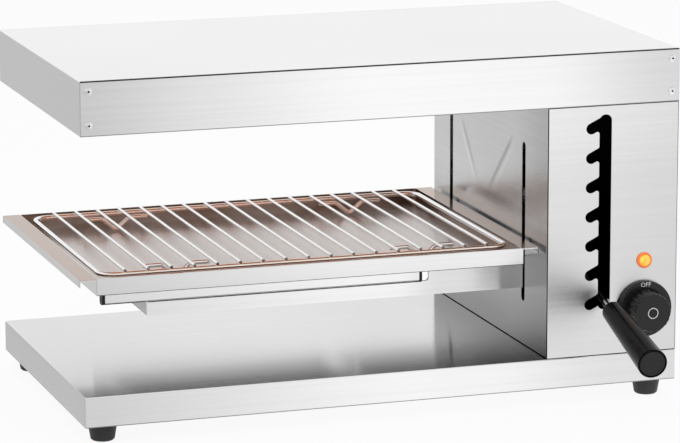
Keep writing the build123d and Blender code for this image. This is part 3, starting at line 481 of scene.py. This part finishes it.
# painted shade: the parts inside the column nearly black, as light hardly reaches them
unlit_column_metal = metal("unlit_column_metal", (0.03, 0.03, 0.03), (0.05, 0.05, 0.05), 0.5, 25.0)
bar = brushed("ground_bar", (0.50, 0.50, 0.50), (0.60, 0.60, 0.60), 0.2, "Y", 0.03)
tinted = metal("heat_tinted_steel", (0.20, 0.12, 0.06), (0.34, 0.22, 0.12), 0.25, 14.0)
black_gloss = plastic("black_gloss", (0.004, 0.004, 0.004), (0.008, 0.008, 0.008), 0.2, level=0.35)
black_satin = plastic("black_satin", (0.007, 0.007, 0.007), (0.014, 0.014, 0.014), 0.42, level=0.3)
black_grip = plastic("black_grip", (0.003, 0.003, 0.003), (0.006, 0.006, 0.006), 0.22, level=0.05)
rubber = plastic("rubber_black", (0.010, 0.010, 0.010), (0.022, 0.022, 0.022), 0.5, 900.0, 0.2)
ceramic = plastic("ceramic_white", (0.72, 0.70, 0.64), (0.82, 0.80, 0.75), 0.22, 60.0, 0.03, 0.4)
rivet = brushed(
    "rivet_steel", (0.80, 0.80, 0.80), (0.88, 0.88, 0.88), 0.2, "X",
    marks=[lambda s: (s.past("Y", fascia_low[1] + 0.1 * MM, 0.0001), UNLIT, 0.6)],
)
wool = plastic("mineral_wool", (0.42, 0.38, 0.26), (0.66, 0.62, 0.48), 0.9, 300.0, 0.8)
print_white = plastic("print_white", (0.62, 0.62, 0.62), (0.70, 0.70, 0.70), 0.5)


def chrome_wire(name, letter=None, low=0.0, high=0.0):
    """Chromed wire; beyond two places along an axis it is painted copper-brown: a painted reflection of
    the glowing heaters.
    """
    s = Shader(name)
    cloud = s.noise(60.0, detail=3)
    s.set(Metallic=1.0)
    colour = s.ramp(cloud, (0.93, 0.93, 0.93), (0.97, 0.97, 0.97))
    if letter:
        glow_reflection = s.either(s.before(letter, low, 0.002), s.past(letter, high, 0.002))
        colour = s.mix(s.math("MULTIPLY", glow_reflection, s.ramp(cloud, 0.8, 1.0)), colour, (0.95, 0.82, 0.72))
    s.feed(Base_Color=colour, Roughness=s.ramp(cloud, 0.16, 0.24))
    s.bump(s.noise(900.0), 0.02, 0.0001)
    return s.material


chrome = chrome_wire("chrome_wire")
frame_chrome = chrome_wire("frame_wire", "Y", grid_low[1] + 5 * MM, grid_high[1] - 5 * MM)
feet_chrome = chrome_wire("feet_wire", "Y", -1.0, (grid_low[1] + grid_high[1]) / 2)


def glowing(name, low, high, strength, scale):
    s = Shader(name)
    cloud = s.noise(scale, detail=3)
    colour = s.ramp(cloud, low, high)
    s.feed(Base_Color=colour, Emission_Color=colour)
    s.set(Emission_Strength=strength, Roughness=0.3)
    return s


heater = glowing("glowing_heater", (0.9, 0.16, 0.02), (1.0, 0.30, 0.05), 1.6, 30.0).material
lamp_rim = glowing("lamp_orange_rim", (0.72, 0.15, 0.02), (0.85, 0.22, 0.04), 0.25, 200.0).material
lens = glowing("lamp_lit_lens", (0.95, 0.33, 0.03), (0.98, 0.50, 0.09), 0.62, 260.0).material

finishes = {
    base_steel: "base_panel",
    lit_cover_steel: "housing_cover",
    fascia_steel: "housing_fascia",
    arm_steel: "front_arm tray_rails",
    shaded_steel: "rear_arm",
    shaded_tie_steel: "cross_ties",
    back_steel: "column_back_panel",
    wall_steel: "column_inner_side",
    front_steel: "column_front_panel",
    side_steel: "column_outer_side",
    tray_steel: "tray",
    bright: "side_screws back_screws knob_bezel",
    rivet: "fascia_rivets",
    zinc: "foot_screws foot_nuts lever_yoke latch_pin heater_brackets heater_terminals",
    unlit_column_metal: "carriage_plate guide_bushes guide_clamps guide_rods lift_eye pivot_bracket pivot_pin",
    chrome: "grid_rods",
    frame_chrome: "grid_frame",
    feet_chrome: "grid_feet",
    bar: "lever_rod regulator_shaft",
    tinted: "housing_floor reflector",
    heater: "heater_tubes",
    black_gloss: "knob",
    black_grip: "lever_grip",
    black_satin: "grip_cap rail_caps regulator_body cord_gland gland_nut knob_insert",
    rubber: "feet",
    ceramic: "terminal_block heater_bushes",
    wool: "insulation_mat",
    lamp_rim: "lamp_bezel",
    lens: "lamp_lens",
}
for material, names in finishes.items():
    for name in names.split():
        for slot in nodes[name].material_slots:
            slot.material = material


# ---------------------------------------------------------------- mesh helpers
def piece(name, bm, material, body):
    mesh = bpy.data.meshes.new(name)
    bm.to_mesh(mesh)
    bm.free()
    for polygon in mesh.polygons:
        polygon.use_smooth = True
    obj = bpy.data.objects.new(name, mesh)
    scene.collection.objects.link(obj)
    mesh.materials.append(material)
    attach(obj, body)
    return obj


def lathe(bm, profile, place, segments=48):
    """Turns a list of (radius, height) about a place's z axis. A radius of 0 closes an end."""
    rings = []
    for radius, height in profile:
        if radius == 0:
            rings.append([bm.verts.new(place @ Vector((0, 0, height)))])
            continue
        rings.append([
            bm.verts.new(place @ Vector((radius * math.cos(a), radius * math.sin(a), height)))
            for a in (math.tau * k / segments for k in range(segments))
        ])
    for low, high in zip(rings, rings[1:]):
        for k in range(segments):
            n = (k + 1) % segments
            corners = [low[k % len(low)], low[n % len(low)], high[n % len(high)], high[k % len(high)]]
            corners = list(dict.fromkeys(corners))
            bm.faces.new(corners)


def facing(x, y, z, axis):
    """A place whose z axis points along a direction."""
    return Matrix.Translation((x, y, z)) @ Vector(axis).to_track_quat("Z", "Y").to_matrix().to_4x4()


# ---------------------------------------------------------------- screws with cross recesses
SCREW_HEAD_R = 3.5 * MM
SCREW_HEAD_H = 2.0 * MM
RECESS_ARM = 1.9 * MM
RECESS_HALF = 0.5 * MM
RECESS_DEPTH = 1.1 * MM


def screw_head(bm, place):
    """A domed head with a cross recess sunk into it."""
    rings, segments = 15, 64
    rows = []
    for ring in range(rings + 1):
        radius = SCREW_HEAD_R * ring / rings
        row = []
        for k in range(segments if ring else 1):
            angle = math.tau * k / segments
            x, y = radius * math.cos(angle), radius * math.sin(angle)
            height = SCREW_HEAD_H * (1 - 0.62 * (radius / SCREW_HEAD_R) ** 2.4)
            reach = max(abs(x), abs(y))
            if min(abs(x), abs(y)) < RECESS_HALF and reach < RECESS_ARM:
                height -= RECESS_DEPTH * (1 - 0.5 * reach / RECESS_ARM)
            row.append(bm.verts.new(place @ Vector((x, y, height))))
        rows.append(row)
    skirt = [
        bm.verts.new(place @ Vector((
            SCREW_HEAD_R * math.cos(math.tau * k / segments),
            SCREW_HEAD_R * math.sin(math.tau * k / segments), -0.0003,
        )))
        for k in range(segments)
    ]
    rows.append(skirt)
    for low, high in zip(rows, rows[1:]):
        for k in range(segments):
            n = (k + 1) % segments
            corners = [low[k % len(low)], high[k], high[n], low[n % len(low)]]
            bm.faces.new(list(dict.fromkeys(corners)))


def islands(node):
    """The centre of each separate solid of a node."""
    mesh = nodes[node].data
    bm = bmesh.new()
    bm.from_mesh(mesh)
    bmesh.ops.remove_doubles(bm, verts=bm.verts, dist=0.00001)
    seen, centres = set(), []
    for start in bm.verts:
        if start in seen:
            continue
        todo, low, high = [start], Vector(start.co), Vector(start.co)
        seen.add(start)
        while todo:
            vertex = todo.pop()
            low = Vector(map(min, low, vertex.co))
            high = Vector(map(max, high, vertex.co))
            for edge in vertex.link_edges:
                other = edge.other_vert(vertex)
                if other not in seen:
                    seen.add(other)
                    todo.append(other)
        centres.append((low + high) / 2)
    bm.free()
    return centres


for node, axis, face in (
    ("side_screws", (1, 0, 0), outer_high[0]),
    ("back_screws", (0, 1, 0), outer_high[1]),
):
    bm = bmesh.new()
    for centre in islands(node):
        place = [face if a else c for a, c in zip(axis, centre)]
        screw_head(bm, facing(*place, axis))
    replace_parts(piece(f"{node}_heads", bm, bright, "cabinet"), node)

# ---------------------------------------------------------------- dial marks
SKIRT_FACE = panel_low[1] - 5.65 * MM


def text_piece(name, words, size, place, body):
    curve = bpy.data.curves.new(name, "FONT")
    curve.body = words
    curve.size = size
    curve.align_x = "CENTER"
    curve.align_y = "CENTER"
    curve.extrude = 0.00004
    obj = bpy.data.objects.new(name, curve)
    scene.collection.objects.link(obj)
    curve.materials.append(print_white)
    obj.matrix_world = place
    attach(obj, body)
    return obj


def dial_place(angle, radius, y):
    """A place on the dial's face: angle clockwise from the top, as seen from the front."""
    x = KNOB.x + radius * math.sin(angle)
    z = KNOB.z + radius * math.cos(angle)
    turned = Matrix.Rotation(angle, 4, "Y") @ Matrix.Rotation(math.pi / 2, 4, "X")
    return Matrix.Translation((x, y, z)) @ turned


DIAL_TEXT_SIZE = 0.0062
DIAL_TEXT_RADIUS = 0.0245
text_piece("dial_off", "OFF", DIAL_TEXT_SIZE, dial_place(0, DIAL_TEXT_RADIUS, SKIRT_FACE), "knob")

# a thin pale ring round the knob's centre
RING_INNER = 4.6 * MM
RING_OUTER = 5.5 * MM
RING_HEIGHT = 0.15 * MM
RING_PROUD = 0.05 * MM
RING_SUNK = 0.1 * MM
bm = bmesh.new()
ring_face = insert_low[1] - RING_PROUD
lathe(
    bm,
    [
        (RING_INNER, 0), (RING_INNER, RING_HEIGHT), (RING_OUTER, RING_HEIGHT), (RING_OUTER, 0),
        (RING_INNER, 0),
    ],
    facing(KNOB.x, ring_face + RING_SUNK, KNOB.z, (0, -1, 0)), 64,
)
piece("knob_centre_ring", bm, print_white, "knob")

# ---------------------------------------------------------------- floor, world, lights
floor_shader = Shader("floor_pale")
floor_shader.set(Roughness=0.9)
floor_tint = floor_shader.ramp(floor_shader.noise(3.0), (0.80, 0.80, 0.80), (0.84, 0.84, 0.84))
floor_shader.feed(Base_Color=floor_tint)
rays = floor_shader.add("ShaderNodeLightPath")
CAMERA_SHARE = 0.92
GLOSSY_SHARE = 1.0
# what glossy steel sees of the floor: brightest ahead, greyer to the sides
LEAN = 0.23
ahead = floor_shader.math("ABSOLUTE", floor_shader.axis("Y"))
across = floor_shader.math(
    "SUBTRACT", floor_shader.axis("X"), floor_shader.math("MULTIPLY", ahead, LEAN),
)
far_left = floor_shader.ramp(across, 0.78, 1.0, -0.95, -0.30)
to_left = floor_shader.ramp(across, 0.72, 1.04, -0.30, 0.02)
to_right = floor_shader.ramp(across, 1.0, 0.82, 0.45, 0.75)
glossy_level = floor_shader.both(far_left, to_left, to_right)
white = floor_shader.add("ShaderNodeEmission", Strength=1.0)
reflected = floor_shader.add("ShaderNodeEmission")
floor_shader.link(glossy_level, reflected.inputs["Strength"])
camera_mix = floor_shader.add("ShaderNodeMixShader")
camera_share = floor_shader.math("MULTIPLY", rays.outputs["Is Camera Ray"], CAMERA_SHARE)
floor_shader.link(camera_share, camera_mix.inputs["Fac"])
floor_shader.link(floor_shader.bsdf.outputs["BSDF"], camera_mix.inputs[1])
floor_shader.link(white.outputs["Emission"], camera_mix.inputs[2])
glossy_mix = floor_shader.add("ShaderNodeMixShader")
glossy_share = floor_shader.math("MULTIPLY", rays.outputs["Is Glossy Ray"], GLOSSY_SHARE)
floor_shader.link(glossy_share, glossy_mix.inputs["Fac"])
floor_shader.link(camera_mix.outputs["Shader"], glossy_mix.inputs[1])
floor_shader.link(reflected.outputs["Emission"], glossy_mix.inputs[2])
floor_shader.link(glossy_mix.outputs["Shader"], floor_shader.out.inputs["Surface"])

FLOOR_HALF = 12.0
bm = bmesh.new()
corners = [
    bm.verts.new((sx * FLOOR_HALF, sy * FLOOR_HALF, 0))
    for sx, sy in ((-1, -1), (1, -1), (1, 1), (-1, 1))
]
bm.faces.new(corners)
floor_mesh = bpy.data.meshes.new("floor")
bm.to_mesh(floor_mesh)
bm.free()
floor = bpy.data.objects.new("floor", floor_mesh)
scene.collection.objects.link(floor)
floor_mesh.materials.append(floor_shader.material)

world = bpy.data.worlds.new("world")
scene.world = world
world.use_nodes = True
wt = world.node_tree
background = wt.nodes["Background"]
background.inputs["Color"].default_value = (1, 1, 1, 1)
background.inputs["Strength"].default_value = 0.55


def world_mix(fac, first, second):
    node = wt.nodes.new("ShaderNodeMixShader")
    wt.links.new(fac, node.inputs["Fac"])
    wt.links.new(first, node.inputs[1])
    wt.links.new(second, node.inputs[2])
    return node.outputs["Shader"]


seen_world = wt.nodes.new("ShaderNodeBackground")
seen_world.inputs["Strength"].default_value = 1.0
# a room that is bright round the horizon and greyer overhead, for glossy rays
sky = wt.nodes.new("ShaderNodeTexCoord")
sky_split = wt.nodes.new("ShaderNodeSeparateXYZ")
wt.links.new(sky.outputs["Generated"], sky_split.inputs["Vector"])
overhead = wt.nodes.new("ShaderNodeMapRange")
overhead.interpolation_type = "SMOOTHSTEP"
overhead.inputs["From Min"].default_value = 0.55
overhead.inputs["From Max"].default_value = 0.98
overhead.inputs["To Min"].default_value = 1.0
overhead.inputs["To Max"].default_value = 0.65
wt.links.new(sky_split.outputs["Z"], overhead.inputs["Value"])
seen_world.inputs["Color"].default_value = (1, 1, 1, 1)
mirrored_world = wt.nodes.new("ShaderNodeBackground")
mirrored_world.inputs["Color"].default_value = (0.92, 0.92, 0.92, 1)
wt.links.new(overhead.outputs["Result"], mirrored_world.inputs["Strength"])
path = wt.nodes.new("ShaderNodeLightPath")
seen_or_through = wt.nodes.new("ShaderNodeMath")
seen_or_through.operation = "MAXIMUM"
wt.links.new(path.outputs["Is Camera Ray"], seen_or_through.inputs[0])
wt.links.new(path.outputs["Is Transmission Ray"], seen_or_through.inputs[1])
plain = world_mix(
    seen_or_through.outputs["Value"], background.outputs["Background"], seen_world.outputs["Background"],
)
whole = world_mix(path.outputs["Is Glossy Ray"], plain, mirrored_world.outputs["Background"])
wt.links.new(whole, wt.nodes["World Output"].inputs["Surface"])


def softbox(name, place, aim, size, power):
    data = bpy.data.lights.new(name, "AREA")
    data.shape = "RECTANGLE"
    data.size, data.size_y = size
    data.energy = power
    lamp = bpy.data.objects.new(name, data)
    lamp.visible_glossy = False
    scene.collection.objects.link(lamp)
    direction = Vector(aim) - Vector(place)
    turned = direction.to_track_quat("-Z", "Y").to_matrix().to_4x4()
    lamp.matrix_world = Matrix.Translation(place) @ turned
    return lamp


softbox("key", (-1.6, -2.2, 2.3), (0, 0, 0.2), (1.8, 1.8), 40)
softbox("overhead", (0.2, 0.3, 2.8), (0, 0.1, 0), (2.4, 2.4), 30)
softbox("fill", (2.2, -1.8, 1.2), (0.1, 0, 0.2), (1.4, 1.6), 12)
